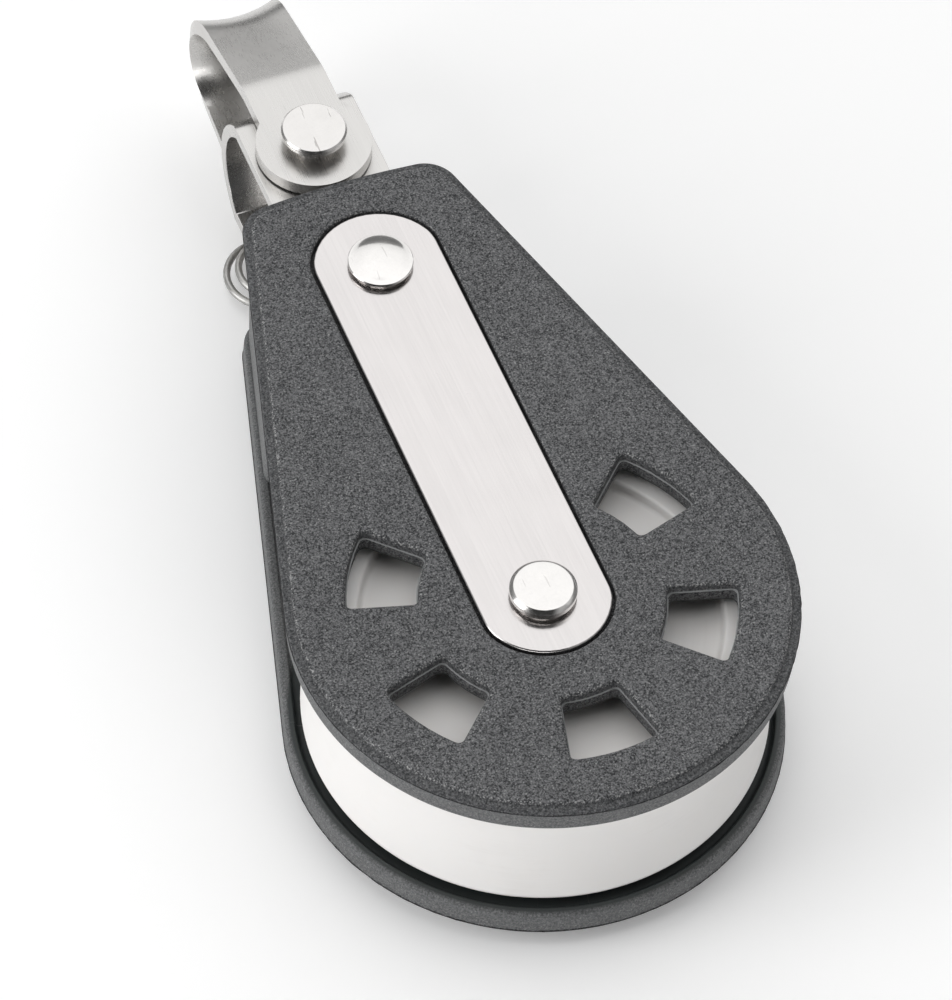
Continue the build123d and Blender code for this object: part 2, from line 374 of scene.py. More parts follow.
def sandyPlastic():
    look = Look("sandyPlastic")
    settings = {"dark": (0.008, 0.009, 0.011, 1), "light": (0.185, 0.187, 0.192, 1),
                "smoothShadeColour": (0.034, 0.040, 0.040, 1), "edgeShadeColour": (0.030, 0.032, 0.034, 1),
                "litWallColour": (0.15, 0.154, 0.154, 1), "grain": 2900, "speckle": 4700,
                "face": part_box("front_cheek")[1].z, "parting": 0.93 * mm, "ledge": 1.15 * mm}
    grain = look.noise(look.place, settings["grain"], 4, 0.75)
    speckle = look.noise(look.place, settings["speckle"], 2, 0.6)
    cloud = look.noise(look.place, 55, 4, 0.6)
    mottle = look.noise(look.place, 700, 3, 0.6)
    tone = look.between(grain * 0.5 + speckle * 0.5, 0.41, 0.59)
    tone = look.between(tone + (cloud - 0.5) * 0.30 + (mottle - 0.5) * 0.28, 0.0, 1.0)
    sandy = look.blend(tone, settings["dark"], settings["light"])
    glint = look.between(speckle, 0.64, 0.70)
    sandy = look.blend(glint * 0.6, sandy, (0.42, 0.42, 0.41, 1))
    # the inner faces are smooth, with fine scratches left by the rope; their darker colour is partly this
    # smooth finish and partly painted shade between the cheek and the sheave
    radius, turn = look.round()
    inside = look.between(abs(look.axis(2)), 9.7 * mm, 9.9 * mm, 1.0, 0.0)
    wall = look.between(radius, 28.0 * mm, 28.4 * mm, 0.0, 1.0)
    scratchWay = look.vector(turn * 160, radius * 90, look.axis(2) * 60)
    scratches = look.between(look.noise(scratchWay, 1.0, 2, 0.5), 0.71, 0.76)
    smoothness = inside * (1 - wall * 0.9)
    smoothShadeTone = look.blend(scratches * 0.5, settings["smoothShadeColour"], (0.16, 0.16, 0.155, 1))
    colour = look.blend(smoothness, sandy, smoothShadeTone)
    # below the face the rounded edge gets painted shade down to the torn parting line, and the wall under
    # that gets a painted lighter tone where light falls on it
    depth = settings["face"] - abs(look.axis(2))
    wobble = (look.noise(look.place, 900, 3, 0.6) - 0.5) * (0.22 * mm)
    # painted shade on the rounded edge of the face and on the window flares
    edge = look.between(depth, 0.06 * mm, 0.35 * mm)
    edge = edge * look.between(depth, 0.85 * mm, 1.0 * mm, 1.0, 0.0)
    colour = look.blend(edge * 0.38, colour, settings["edgeShadeColour"])
    # painted glints of light along the bend at the edge of the face
    edgeGlints = look.between(speckle, 0.56, 0.62) * look.between(depth, 0.03 * mm, 0.10 * mm)
    edgeGlints = edgeGlints * look.between(depth, 0.30 * mm, 0.42 * mm, 1.0, 0.0)
    colour = look.blend(edgeGlints * 0.5, colour, (0.50, 0.50, 0.49, 1))
    # a painted lighter tone on the outer wall under the parting line, where light falls on it
    outer = look.between(radius, 24.5 * mm, 25.5 * mm)
    under = look.between(depth, 1.05 * mm, 1.15 * mm) * outer * (1 - smoothness)
    colour = look.blend(under * 0.45, colour, settings["litWallColour"])
    # a painted dark shadow line along the torn flash of the parting line
    partingShadow = look.between(abs(depth - settings["parting"] + wobble), 0.05 * mm, 0.12 * mm, 1.0, 0.0)
    colour = look.blend(partingShadow * outer * 0.85, colour, (0.004, 0.004, 0.005, 1))
    ledge = look.between(abs(depth - settings["ledge"] + wobble), 0.05 * mm, 0.13 * mm, 1.0, 0.0)
    window = look.between(radius, 23.2 * mm, 23.8 * mm, 1.0, 0.0)
    window = window * look.between(radius, 12.5 * mm, 13.0 * mm)
    colour = look.blend(ledge * window * 0.8, colour, (0.30, 0.31, 0.31, 1))
    sand = look.noise(look.place, 3900, 5, 0.7)
    rough = 0.62 - smoothness * 0.20 + (cloud - 0.5) * 0.12
    rough = rough - glint * 0.15
    height = sand * (1 - smoothness * 0.85) + scratches * smoothness * 0.3
    return look.finish({"Base Color": colour, "Roughness": rough, "Specular IOR Level": 0.42,
                        "Normal": look.bump(height, 0.55, 0.16 * mm)})


def brushedSteel(name, base, low, high, streak, centre=(0, 0, 0), depth=0.02):
    # fine lines along the length of the strip, with a soft cloudy sheen
    look = Look(name)
    fine = look.noise(look.stretched(streak, streak * 0.02, streak, centre), 1.0, 4, 0.65)
    wide = look.noise(look.stretched(streak * 0.12, streak * 0.006, streak * 0.12, centre), 1.0, 3, 0.6)
    cloud = look.noise(look.place, 130, 4, 0.6)
    pits = look.between(look.noise(look.place, 2600, 2, 0.5), 0.70, 0.78)
    nick = look.noise(look.stretched(900, 140, 900, centre), 1.0, 1, 0.4)
    nicks = look.between(nick, 0.78, 0.82)
    tone = look.between(fine * 0.5 + wide * 0.2 + cloud * 0.3, 0.35, 0.65)
    colour = look.blend(tone, tuple(c * 0.90 for c in base[:3]) + (1,), base)
    colour = look.blend(nicks * 0.35, colour, (0.30, 0.29, 0.28, 1))
    rough = low + (high - low) * look.between(fine * 0.45 + cloud * 0.55, 0.32, 0.68) + pits * 0.08
    height = fine + wide * 0.6 - pits * 0.4 - nicks
    return look.finish({"Base Color": colour, "Metallic": 1.0, "Roughness": rough,
                        "Normal": look.bump(height, 0.30, depth * mm)})


def turnedSteel(name, base, low, high, centre, marks=1.0):
    # rings left by turning and pressing, a few stray scratches
    look = Look(name)
    radius, turn = look.round(centre)
    rings = look.noise(look.vector(radius * 5200, turn * 1.3, 0.0), 1.0, 3, 0.6)
    cloud = look.noise(look.place, 420, 4, 0.6)
    fine = look.noise(look.place, 3400, 3, 0.6)
    stray = look.noise(look.stretched(2400, 260, 900, (centre[0], centre[1], 0)), 1.0, 2, 0.5)
    scratches = look.between(stray, 0.69, 0.72) * marks
    arcs = look.between(rings, 0.62, 0.70) * look.between(cloud, 0.48, 0.60)
    tone = look.between(cloud * 0.6 + fine * 0.4, 0.35, 0.65)
    colour = look.blend(tone, tuple(c * 0.92 for c in base[:3]) + (1,), base)
    colour = look.blend(arcs * 0.16, colour, (0.35, 0.34, 0.33, 1))
    colour = look.blend(scratches * 0.5, colour, (0.22, 0.21, 0.20, 1))
    rough = low + (high - low) * tone + arcs * 0.06
    height = rings * 0.5 + fine * 0.35 - scratches * 0.6
    return look.finish({"Base Color": colour, "Metallic": 1.0, "Roughness": rough,
                        "Normal": look.bump(height, 0.22, 0.014 * mm)})


def whitePlastic():
    # moulded acetal: faint turning lines, a little grime and painted shade on the sunken web
    look = Look("whitePlastic")
    radius, turn = look.round()
    lines = look.noise(look.vector(radius * 2600, look.axis(2) * 2600, turn * 1.5), 1.0, 3, 0.6)
    cloud = look.noise(look.place, 90, 4, 0.6)
    fine = look.noise(look.place, 1900, 4, 0.6)
    grime = look.between(cloud * 0.7 + lines * 0.3, 0.52, 0.72)
    colour = look.blend(grime * 0.30, (0.87, 0.855, 0.84, 1), (0.74, 0.715, 0.69, 1))
    # painted shade on the sunken web, which sits deep between the cheeks
    webShade = look.between(radius, 20.0 * mm, 21.4 * mm, 1.0, 0.0)
    colour = look.blend(webShade * 0.12, colour, (0.74, 0.70, 0.66, 1))
    rough = 0.36 + (cloud - 0.5) * 0.10 + lines * 0.05
    return look.finish({"Base Color": colour, "Roughness": rough, "Specular IOR Level": 0.45,
                        "Subsurface Weight": 0.12, "Subsurface Scale": 0.6 * mm,
                        "Subsurface Radius": (1.0, 0.9, 0.8),
                        "Normal": look.bump(lines * 0.6 + fine * 0.4, 0.12, 0.03 * mm)})


def drawnWire():
    look = Look("drawnWire")
    fine = look.noise(look.place, 2600, 4, 0.65)
    cloud = look.noise(look.place, 500, 3, 0.6)
    tone = look.between(fine * 0.5 + cloud * 0.5, 0.36, 0.64)
    colour = look.blend(tone, (0.36, 0.355, 0.345, 1), (0.52, 0.515, 0.50, 1))
    return look.finish({"Base Color": colour, "Metallic": 1.0, "Roughness": 0.30 + tone * 0.14,
                        "Normal": look.bump(fine, 0.25, 0.02 * mm)})


def bearingBronze():
    look = Look("bearingBronze")
    grains = look.noise(look.place, 2300, 4, 0.7)
    cloud = look.noise(look.place, 300, 3, 0.6)
    tone = look.between(grains * 0.6 + cloud * 0.4, 0.35, 0.65)
    colour = look.blend(tone, (0.28, 0.15, 0.06, 1), (0.50, 0.31, 0.14, 1))
    return look.finish({"Base Color": colour, "Metallic": 1.0, "Roughness": 0.34 + tone * 0.16,
                        "Normal": look.bump(grains, 0.3, 0.03 * mm)})


def washerPlastic():
    look = Look("washerPlastic")
    radius, turn = look.round()
    rings = look.noise(look.vector(radius * 4200, turn * 0.8, 0.0), 1.0, 3, 0.6)
    cloud = look.noise(look.place, 260, 4, 0.6)
    tone = look.between(rings * 0.5 + cloud * 0.5, 0.36, 0.64)
    colour = look.blend(tone, (0.012, 0.012, 0.013, 1), (0.035, 0.035, 0.037, 1))
    return look.finish({"Base Color": colour, "Roughness": 0.42 + tone * 0.14,
                        "Normal": look.bump(rings, 0.25, 0.02 * mm)})


axlePlace = (0.0, 0.0)
headPlace = (0.0, (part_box("head_rivet")[0].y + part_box("head_rivet")[1].y) / 2)
pinPlace = (0.0, (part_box("clevis_pin")[0].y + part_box("clevis_pin")[1].y) / 2)

looks = {
    "cheek": sandyPlastic(),
    "plate": brushedSteel("plateSteel", (0.655, 0.632, 0.626, 1), 0.15, 0.25, 4200, depth=0.012),
    "strip": brushedSteel("stripSteel", (0.62, 0.61, 0.595, 1), 0.22, 0.34, 4200, depth=0.02),
    "axleRivet": turnedSteel("axleRivetSteel", (0.76, 0.745, 0.73, 1), 0.13, 0.24, axlePlace, 0.4),
    "headRivet": turnedSteel("headRivetSteel", (0.76, 0.745, 0.73, 1), 0.07, 0.16, headPlace, 0.4),
    "pin": turnedSteel("pinSteel", (0.71, 0.695, 0.68, 1), 0.16, 0.28, pinPlace, 1.0),
    "wire": drawnWire(),
    "sheave": whitePlastic(),
    "bush": bearingBronze(),
    "washer": washerPlastic(),
}
print("materials ready")


def handOver(piece, look, body, nodes):
    piece.data.materials.clear()
    piece.data.materials.append(looks[look])
    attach(piece, body)
    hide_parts(*nodes)


cheekLow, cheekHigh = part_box("front_cheek")
cheekSizes = {
    "radius": cheekHigh.x, "flankAngle": 15.5, "crown": 0.4 * mm, "headEnd": cheekHigh.y - 0.4 * mm,
    "corner": 4.2 * mm, "face": cheekHigh.z, "lipFace": cheekLow.z, "innerFace": cheekHigh.z - 3.0 * mm,
    "parting": cheekHigh.z - 0.95 * mm, "flashHeight": 0.05 * mm, "flashDepth": 0.09 * mm,
    "tear": 0.05 * mm,
    "shoulder": (0.62 * mm, 0.20 * mm), "faceRound": (0.95 * mm, 0.62 * mm), "lipWidth": 1.7 * mm,
}


def teardropSteps(radius, headEnd, corner, height, lowEnd=None):
    # the outline of a cheek: big end or a straight low end, flank, crowned head, flank
    slope = math.radians(cheekSizes["flankAngle"])
    crown = cheekSizes["crown"]
    cornerX = (radius - corner - (headEnd - corner) * math.sin(slope)) / math.cos(slope)
    cornerY = headEnd - corner
    crownRadius = (cornerX ** 2 + crown ** 2) / (2 * crown)
    crownTurn = 2 * math.degrees(math.asin(cornerX / crownRadius))
    up = (0, 0, 1)
    start = (-radius * math.cos(slope), radius * math.sin(slope), height)
    flankEnd = (cornerX + corner * math.cos(slope), cornerY + corner * math.sin(slope), height)
    lower = ((0, 0, height), 180 + 2 * cheekSizes["flankAngle"], 160, up)
    if lowEnd is not None:
        reach = (radius - lowEnd * math.sin(slope)) / math.cos(slope)
        start = (-reach, lowEnd, height)
        lower = (reach, lowEnd, height)
    steps = [lower,
             flankEnd,
             ((cornerX, cornerY, height), 90 - cheekSizes["flankAngle"], 12, up),
             ((0, headEnd + crown - crownRadius, height), crownTurn, 10, up),
             ((-cornerX, cornerY, height), 90 - cheekSizes["flankAngle"], 12, up),
             start]
    return start, steps


windowSizes = {"inner": 13.9 * mm, "outer": 21.9 * mm, "halfAngle": 14.0, "corner": 1.0 * mm,
               "flare": 0.70 * mm, "flareHeight": 0.55 * mm, "ledge": 0.13 * mm,
               "ledgeUnder": 1.15 * mm,
               "tear": 0.07 * mm}


def windowFace(name, grow, height, angle):
    # one window outline, grown outwards, as a flat face with rounded corners
    half = math.radians(windowSizes["halfAngle"])
    across = Vector((math.cos(half), math.sin(half), 0))
    along = Vector((math.sin(half), -math.cos(half), 0))
    ends = []
    for radius in (windowSizes["inner"] - grow, windowSizes["outer"] + grow):
        ends.append(along * math.sqrt(radius ** 2 - grow ** 2) + across * grow)
    turns = [2 * math.degrees(math.atan2(end.x, -end.y)) for end in ends]
    lift = Vector((0, 0, height))
    start = Vector((-ends[0].x, ends[0].y, 0)) + lift
    steps = [((0, 0, height), turns[0], 5, (0, 0, 1)),
             tuple(ends[1] + lift),
             ((0, 0, height), -turns[1], 8, (0, 0, 1))]
    piece = drawLine(name, start, steps)
    closeOutline(piece)
    edit(piece)
    corners = ends + [Vector((-end.x, end.y, 0)) for end in ends]

    def atCorner(at, vertex):
        return min((Vector((at.x, at.y, 0)) - corner).length for corner in corners) < tiny

    pick(piece, "VERT", atCorner)
    bpy.ops.mesh.bevel(offset=windowSizes["corner"] + grow * 0.5, segments=5, affect="VERTICES")
    bpy.ops.mesh.select_all(action="SELECT")
    bpy.ops.transform.rotate(value=-math.radians(angle), orient_axis="Z", center_override=(0, 0, 0))
    bpy.ops.object.mode_set(mode="OBJECT")
    return piece


def windowCutters(seed):
    # the upper cutter flares at the face, the lower one leaves a torn ledge between them
    face = cheekSizes["face"]
    flare, flareHeight = windowSizes["flare"], windowSizes["flareHeight"]
    ledge, tear = windowSizes["ledge"], windowSizes["tear"]
    ledgeHeight = face - windowSizes["ledgeUnder"]
    above, below = 0.6 * mm, 0.5 * mm
    overlap = 0.03 * mm
    uppers, lowers = [], []
    for number in range(5):
        angle = (number - 2) * 60
        upper = windowFace("upper", flare, face, angle)
        extrudeAll(upper, (0, 0, above))
        wall = face - flareHeight - ledgeHeight - ledge / 2
        steps = quarterRound(flare - 0.05 * mm, flareHeight, 6, outer=False)
        steps += [(0.04 * mm, wall), (ledge, ledge / 2), (0.01 * mm, overlap)]
        stepInwards(upper, face, -1, steps)
        roughen(upper, ledgeHeight, lambda at: True, tear, seed + number)
        uppers.append(upper)
        base = cheekSizes["lipFace"] - below
        lower = windowFace("lower", 0.04 * mm, base, angle)
        extrudeAll(lower, (0, 0, 0.02 * mm))
        rise = ledgeHeight - ledge / 2 - base - 0.02 * mm
        steps = [(0.04 * mm, rise), (ledge, ledge / 2), (0.01 * mm, overlap)]
        stepInwards(lower, base + 0.02 * mm, 1, steps)
        roughen(lower, ledgeHeight, lambda at: True, tear, seed + 10 + number)
        lowers.append(lower)
    return joinPieces(uppers, "upperCutters"), joinPieces(lowers, "lowerCutters")


plateLow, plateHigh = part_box("front_side_plate")
plateSizes = {"half": plateHigh.x, "end": -plateLow.y, "floor": plateLow.z, "top": plateHigh.z,
              "gap": 0.35 * mm, "cornerRound": 1.1 * mm, "edge": 0.32 * mm, "bore": 2.55 * mm}


def plateFace(name, grow, height):
    # two straight sides with an arc about each rivet at the ends, obtuse corners softened
    half = plateSizes["half"] + grow
    end = plateSizes["end"] + grow
    rise = math.sqrt(end ** 2 - half ** 2)
    turn = 2 * math.degrees(math.asin(half / end))
    top = headPlace[1]
    start = (-half, -rise, height)
    steps = [((0, 0, height), turn, 18, (0, 0, 1)),
             (half, top + rise, height),
             ((0, top, height), turn, 18, (0, 0, 1)),
             start]
    piece = drawLine(name, start, steps)
    closeOutline(piece)
    edit(piece)
    pick(piece, "VERT", lambda at, v: abs(abs(at.x) - half) < tiny)
    bpy.ops.mesh.bevel(offset=plateSizes["cornerRound"] * 0.8, segments=4, affect="VERTICES")
    bpy.ops.object.mode_set(mode="OBJECT")
    return piece


def recessCutter():
    # the pocket for the plate, with a slightly rounded mouth
    mouth = 0.28 * mm
    piece = plateFace("recess", plateSizes["gap"] + mouth, cheekSizes["face"])
    extrudeAll(piece, (0, 0, 0.5 * mm))
    depth = cheekSizes["face"] - plateSizes["floor"]
    steps = quarterRound(mouth, mouth * 1.2, 4, outer=False)
    steps += [(0.01 * mm, depth - mouth * 1.2)]
    stepInwards(piece, cheekSizes["face"], -1, steps)
    return piece


def cheek(name, node, side, seed):
    sizes = cheekSizes
    parting, flash = sizes["parting"], sizes["flashHeight"]
    spare = sizes["tear"] + 0.01 * mm
    start, steps = teardropSteps(sizes["radius"] - spare, sizes["headEnd"] - spare,
                                 sizes["corner"], parting)
    piece = drawLine(name, start, steps)
    closeOutline(piece)
    extrudeAll(piece, (0, 0, flash))
    # front: flash, shoulder, rounded face edge
    shoulderWidth, shoulderHeight = sizes["shoulder"]
    roundWidth, roundHeight = sizes["faceRound"]
    fin = sizes["flashDepth"]
    upper = [(fin, 0.05 * mm), (0.02 * mm, 0.10 * mm)]
    upper += quarterRound(shoulderWidth * 0.3, shoulderHeight * 0.8, 3)
    upper += [(shoulderWidth * 0.7, shoulderHeight * 0.2)]
    left = sizes["face"] - parting - flash - 0.15 * mm - shoulderHeight
    upper += quarterRound(roundWidth * 0.35, left * 0.35, 3, outer=False)
    upper += quarterRound(roundWidth * 0.65, left * 0.65, 5)
    edit(piece)
    pick(piece, "FACE", lambda at, face: len(face.verts) > 20 and face.normal.z > 0.9)
    for inwards, onwards in upper:
        bpy.ops.mesh.inset(thickness=inwards, depth=onwards, use_even_offset=True)
    # back: flash, wall, lip and the pocket inside it
    wall = parting - sizes["lipFace"] - 0.05 * mm - 0.5 * mm
    lower = [(fin, 0.05 * mm), (0.12 * mm, wall)]
    lower += quarterRound(0.55 * mm, 0.5 * mm, 5)
    lower += [(sizes["lipWidth"] - fin - 0.12 * mm - 0.55 * mm - 0.55 * mm, 0.0)]
    pocket = sizes["innerFace"] - sizes["lipFace"]
    lower += [(w, -h) for w, h in quarterRound(0.30 * mm, pocket * 0.45, 4, outer=False)]
    lower += [(w, -h) for w, h in quarterRound(0.55 * mm, pocket * 0.55, 4)]
    pick(piece, "FACE", lambda at, face: len(face.verts) > 20 and face.normal.z < -0.9)
    for inwards, onwards in lower:
        bpy.ops.mesh.inset(thickness=max(inwards, 0.001 * mm), depth=onwards, use_even_offset=True)
    bpy.ops.object.mode_set(mode="OBJECT")
    for number, height in enumerate((parting, parting + flash)):
        roughen(piece, height, lambda at: True, sizes["tear"], seed + 20)
    uppers, lowers = windowCutters(seed)
    combine(piece, uppers)
    combine(piece, lowers)
    combine(piece, recessCutter())
    for place in (axlePlace, headPlace):
        drill(piece, plateSizes["bore"], 30 * mm, (place[0], place[1], 10 * mm))
    if side < 0:
        edit(piece)
        bpy.ops.mesh.select_all(action="SELECT")
        bpy.ops.transform.resize(value=(1, 1, -1), center_override=(0, 0, 0))
        bpy.ops.object.mode_set(mode="OBJECT")
        cleanUp(piece)
    smooth(piece)
    handOver(piece, "cheek", "block", [node])
    print(name, "made")
    return piece


cheek("frontCheek", "front_cheek", 1, 3)
cheek("rearCheek", "rear_cheek", -1, 40)


def sidePlate(name, node, side):
    sizes = plateSizes
    piece = plateFace(name, 0.0, sizes["floor"])
    extrudeAll(piece, (0, 0, sizes["top"] - sizes["floor"] - sizes["edge"]))
    stepInwards(piece, sizes["top"] - sizes["edge"], 1, quarterRound(sizes["edge"], sizes["edge"], 5))
    for place in (axlePlace, headPlace):
        drill(piece, sizes["bore"], 30 * mm, (place[0], place[1], 10 * mm))
    if side < 0:
        edit(piece)
        bpy.ops.mesh.select_all(action="SELECT")
        bpy.ops.transform.resize(value=(1, 1, -1), center_override=(0, 0, 0))
        bpy.ops.object.mode_set(mode="OBJECT")
        cleanUp(piece)
    smooth(piece)
    handOver(piece, "plate", "block", [node])


sidePlate("frontPlate", "front_side_plate", 1)
sidePlate("rearPlate", "rear_side_plate", -1)
print("plates made")


rivetSizes = {"shank": 2.5 * mm, "collar": 3.2 * mm, "collarTop": plateSizes["top"] + 0.5 * mm,
              "head": 3.8 * mm, "top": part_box("axle_rivet")[1].z, "flat": 3.3 * mm,
              "domeRise": 0.80 * mm, "rimRise": 0.38 * mm, "domePower": 2.0}


def rivet(name, node, place, look, dome):
    s = rivetSizes
    rim = s["top"] - (s["domeRise"] if dome else s["rimRise"])
    upper = [(s["shank"], plateSizes["top"]), (s["collar"], plateSizes["top"]),
             (s["collar"] + 0.05 * mm, s["collarTop"] - 0.06 * mm),
             (s["head"] - 0.10 * mm, s["collarTop"]),
             (s["head"], s["collarTop"] + 0.12 * mm), (s["head"], rim - 0.06 * mm),
             (s["head"] - 0.06 * mm, rim)]
    if dome:
        rise = s["top"] - rim
        wide = s["head"] - 0.30 * mm
        upper += [(wide + 0.1 * mm, rim + 0.03 * mm)]
        for number in range(1, 15):
            share = number / 15
            height = (rise - 0.03 * mm) * (1 - (1 - share) ** s["domePower"])
            upper.append((wide * (1 - share), rim + 0.03 * mm + height))
        upper.append((0.0, s["top"]))
    else:
        upper += [(s["flat"] + 0.10 * mm, s["top"] - 0.06 * mm), (s["flat"], s["top"] - 0.01 * mm),
                  (s["flat"] - 0.15 * mm, s["top"]), (s["flat"] * 0.6, s["top"] - 0.015 * mm),
                  (0.0, s["top"] - 0.03 * mm)]
    lower = [(radius, -height) for radius, height in reversed(upper)]
    piece = lathe(name, lower + upper, 96, place)
    for side in (1, -1):
        roundRing(piece, s["collar"], plateSizes["top"] * side, 0.04 * mm, 2, place)
    smooth(piece, 28)
    handOver(piece, look, "block", [node])


rivet("axleRivet", "axle_rivet", axlePlace, "axleRivet", False)
rivet("headRivet", "head_rivet", headPlace, "headRivet", True)
print("rivets made")


sheaveLow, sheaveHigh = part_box("sheave")
sheaveSizes = {"radius": sheaveHigh.x, "half": sheaveHigh.z, "grooveHalf": 7.6 * mm,
               "grooveDepth": 2.0 * mm, "lipRound": 0.7 * mm, "webFloor": sheaveHigh.z - 1.2 * mm,
               "webInner": 9.8 * mm, "webOuter": 20.6 * mm, "bore": 7.02 * mm}


def sheaveWheel():
    s = sheaveSizes
    half, radius = s["half"], s["radius"]
    sag, reach = s["grooveDepth"], s["grooveHalf"]
    arcRadius = (reach ** 2 + sag ** 2) / (2 * sag)
    centreRadius = radius - sag + arcRadius
    turn = math.degrees(math.asin(reach / arcRadius))
    upper = [(radius, reach), (radius, half - s["lipRound"]), (radius - s["lipRound"], half),
             (s["webOuter"], half), (s["webOuter"] - 0.4 * mm, s["webFloor"]),
             (s["webInner"] + 0.4 * mm, s["webFloor"]), (s["webInner"], half), (s["bore"], half),
             (s["bore"], -half)]
    lower = [(r, -z) for r, z in reversed(upper[:-1])]
    arc = (centreRadius, 0.0, 2 * turn, 40)
    piece = lathe("sheaveWheel", upper + lower[1:] + [arc], 160)
    for side in (1, -1):
        roundRing(piece, s["webOuter"], half * side, 0.30 * mm, 4)
        roundRing(piece, s["webOuter"] - 0.4 * mm, s["webFloor"] * side, 0.35 * mm, 4)
        roundRing(piece, s["webInner"], half * side, 0.25 * mm, 3)
        roundRing(piece, s["webInner"] + 0.4 * mm, s["webFloor"] * side, 0.3 * mm, 3)
        roundRing(piece, radius, (half - s["lipRound"]) * side, 0.3 * mm, 4)
        roundRing(piece, radius - s["lipRound"], half * side, 0.3 * mm, 4)
        roundRing(piece, radius, reach * side, 0.35 * mm, 4)
    smooth(piece, 30)
    handOver(piece, "sheave", "sheave", ["sheave"])


sheaveWheel()
print("sheave made")


spacerSizes = {"inset": 0.9 * mm, "lipGap": 0.05 * mm, "endRound": 2.2 * mm, "stepWidth": 0.85 * mm,
               "slotLength": 30.1 * mm, "slotHeight": 1.7 * mm, "slotSpare": 0.1 * mm,
               "bore": 3.25 * mm,
               "edge": 0.15 * mm}


def headSpacer():
    s = spacerSizes
    low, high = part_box("head_spacer")
    inset = s["inset"]
    step = cheekSizes["lipFace"] - s["lipGap"]
    start, steps = teardropSteps(cheekSizes["radius"] - inset, cheekSizes["headEnd"] - inset,
                                 cheekSizes["corner"] - inset, -step, low.y)
    piece = drawLine("headSpacer", start, steps)
    closeOutline(piece)
    edit(piece)
    pick(piece, "VERT", lambda at, v: abs(at.y - low.y) < tiny)
    bpy.ops.mesh.bevel(offset=s["endRound"], segments=6, affect="VERTICES")
    bpy.ops.object.mode_set(mode="OBJECT")
    extrudeAll(piece, (0, 0, 2 * step))
    rise = high.z - step
    stepInwards(piece, step, 1, [(s["stepWidth"], 0.0), (0.02 * mm, rise)])
    stepInwards(piece, -step, -1, [(s["stepWidth"], 0.0), (0.02 * mm, rise)])
    # a slot for each leg of the strap
    strapEnd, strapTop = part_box("head_strap")
    for side in (1, -1):
        clearSelection()
        slotPlace = (0, strapEnd.y + 15 * mm, side * (strapTop.z - 0.8 * mm))
        slotScale = (strapTop.x * 2 + s["slotSpare"], s["slotLength"], s["slotHeight"])
        bpy.ops.mesh.primitive_cube_add(size=1, location=slotPlace, scale=slotScale)
        combine(piece, bpy.context.object)
    drill(piece, s["bore"], 30 * mm, (headPlace[0], headPlace[1], 0))
    roundEdges(piece, s["edge"], 40)
    smooth(piece)
    handOver(piece, "cheek", "block", ["head_spacer"])


headSpacer()
print("head spacer made")


strapLow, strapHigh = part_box("head_strap")
strapSizes = {"half": strapHigh.x, "outer": strapHigh.z, "thick": 1.6 * mm, "low": strapLow.y,
              "top": strapHigh.y, "bendRound": 2.0 * mm, "bendTurn": 36,
              "edge": 0.16 * mm, "bore": 2.55 * mm}


def stripBand(name, start, steps, halfWidth, pieces):
    # a bent line widened to a band
    piece = drawLine(name, start, steps)
    edit(piece)
    bpy.ops.mesh.select_all(action="SELECT")
    bpy.ops.transform.translate(value=(-halfWidth, 0, 0))
    step = (2 * halfWidth / pieces, 0, 0)
    for number in range(pieces):
        bpy.ops.mesh.extrude_region_move(TRANSFORM_OT_translate={"value": step})
    bpy.ops.object.mode_set(mode="OBJECT")
    cleanUp(piece)
    return piece


def turnBandOut(piece, middle):
    # makes the faces of a bent band look away from its middle
    edit(piece)
    bpy.ops.mesh.select_all(action="SELECT")
    shape = bmesh.from_edit_mesh(piece.data)
    score = sum(face.normal.dot(face.calc_center_median() - Vector(middle)) for face in shape.faces)
    if score < 0:
        bpy.ops.mesh.flip_normals()
    bpy.ops.object.mode_set(mode="OBJECT")


def giveThickness(piece, thick):
    # the wall grows towards the inside of the bend
    applyModifier(piece, "SOLIDIFY", {"thickness": thick, "offset": -1.0, "use_even_offset": True})


def headStrap():
    # legs, two tight bends and a gently arched top
    s = strapSizes
    turn = math.radians(s["bendTurn"])
    bendHeight = s["outer"] - s["bendRound"]
    archRadius = (bendHeight + s["bendRound"] * math.cos(turn)) / math.cos(turn)
    archPlace = s["top"] - archRadius
    bendPlace = archPlace + (archRadius - s["bendRound"]) * math.sin(turn)
    steps = [(0, bendPlace, s["outer"]),
             ((0, bendPlace, bendHeight), -s["bendTurn"], 12, (1, 0, 0)),
             ((0, archPlace, 0), 2 * s["bendTurn"] - 180, 24, (1, 0, 0)),
             ((0, bendPlace, -bendHeight), -s["bendTurn"], 12, (1, 0, 0)),
             (0, s["low"], -s["outer"])]
    piece = stripBand("headStrap", (0, s["low"], s["outer"]), steps, s["half"], 2)
    turnBandOut(piece, (0, bendPlace - 5 * mm, 0))
    giveThickness(piece, s["thick"])
    for place in (headPlace, pinPlace):
        drill(piece, s["bore"], 30 * mm, (place[0], place[1], 0))
    roundEdges(piece, s["edge"], 40, 2)
    smooth(piece)
    handOver(piece, "strip", "block", ["head_strap"])


headStrap()
print("strap made")


shackleLow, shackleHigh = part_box("shackle")
shackleSizes = {"half": 5.1 * mm, "ear": shackleHigh.x, "face": shackleHigh.z, "thick": 1.7 * mm,
                "bend": 82.0 * mm,
                "bendRound": 6.0 * mm, "bowRadius": 7.8 * mm, "bowCentre": shackleHigh.y - 7.8 * mm,
                "dish": 1.15 * mm, "edge": 0.2 * mm, "bore": 2.55 * mm,
                "tipTurn": 4, "earRows": 26, "legRows": 44, "columns": 12}


